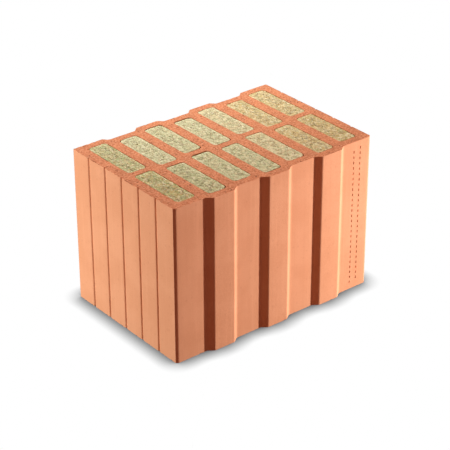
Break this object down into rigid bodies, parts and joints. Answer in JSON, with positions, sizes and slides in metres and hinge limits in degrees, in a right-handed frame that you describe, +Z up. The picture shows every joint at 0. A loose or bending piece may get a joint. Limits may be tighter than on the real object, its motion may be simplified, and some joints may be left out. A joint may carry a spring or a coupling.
{
  "type": "insulated hollow clay block",
  "caption": "Ground hollow clay block for thick outer walls, with wool-filled through chambers, tongues and grooves on the butt faces and plaster grooves on the wall faces.",
  "frame": {"origin": "centre of the block's box, on the bed face it stands on", "axes": "+X along the wall's thickness from one plaster face to the other, +Y towards the grooved butt face, +Z up through the chambers"},
  "size_m": [0.365, 0.248, 0.249],
  "materials": {
    "fired_clay": "matte, smooth extruded sides, ground granular bed faces",
    "mineral_wool": "fibrous, cut ends"
  },
  "bodies": {
    "root": {"clay_block": "fired_clay", "wool_insert_front_1": "mineral_wool", "wool_insert_front_2": "mineral_wool", "wool_insert_front_3": "mineral_wool", "wool_insert_front_4": "mineral_wool", "wool_insert_front_5": "mineral_wool", "wool_insert_front_6": "mineral_wool", "wool_insert_front_7": "mineral_wool", "wool_insert_back_1": "mineral_wool", "wool_insert_back_2": "mineral_wool", "wool_insert_back_3": "mineral_wool", "wool_insert_back_4": "mineral_wool", "wool_insert_back_5": "mineral_wool", "wool_insert_back_6": "mineral_wool", "wool_insert_back_7": "mineral_wool"}
  },
  "joints": []
}
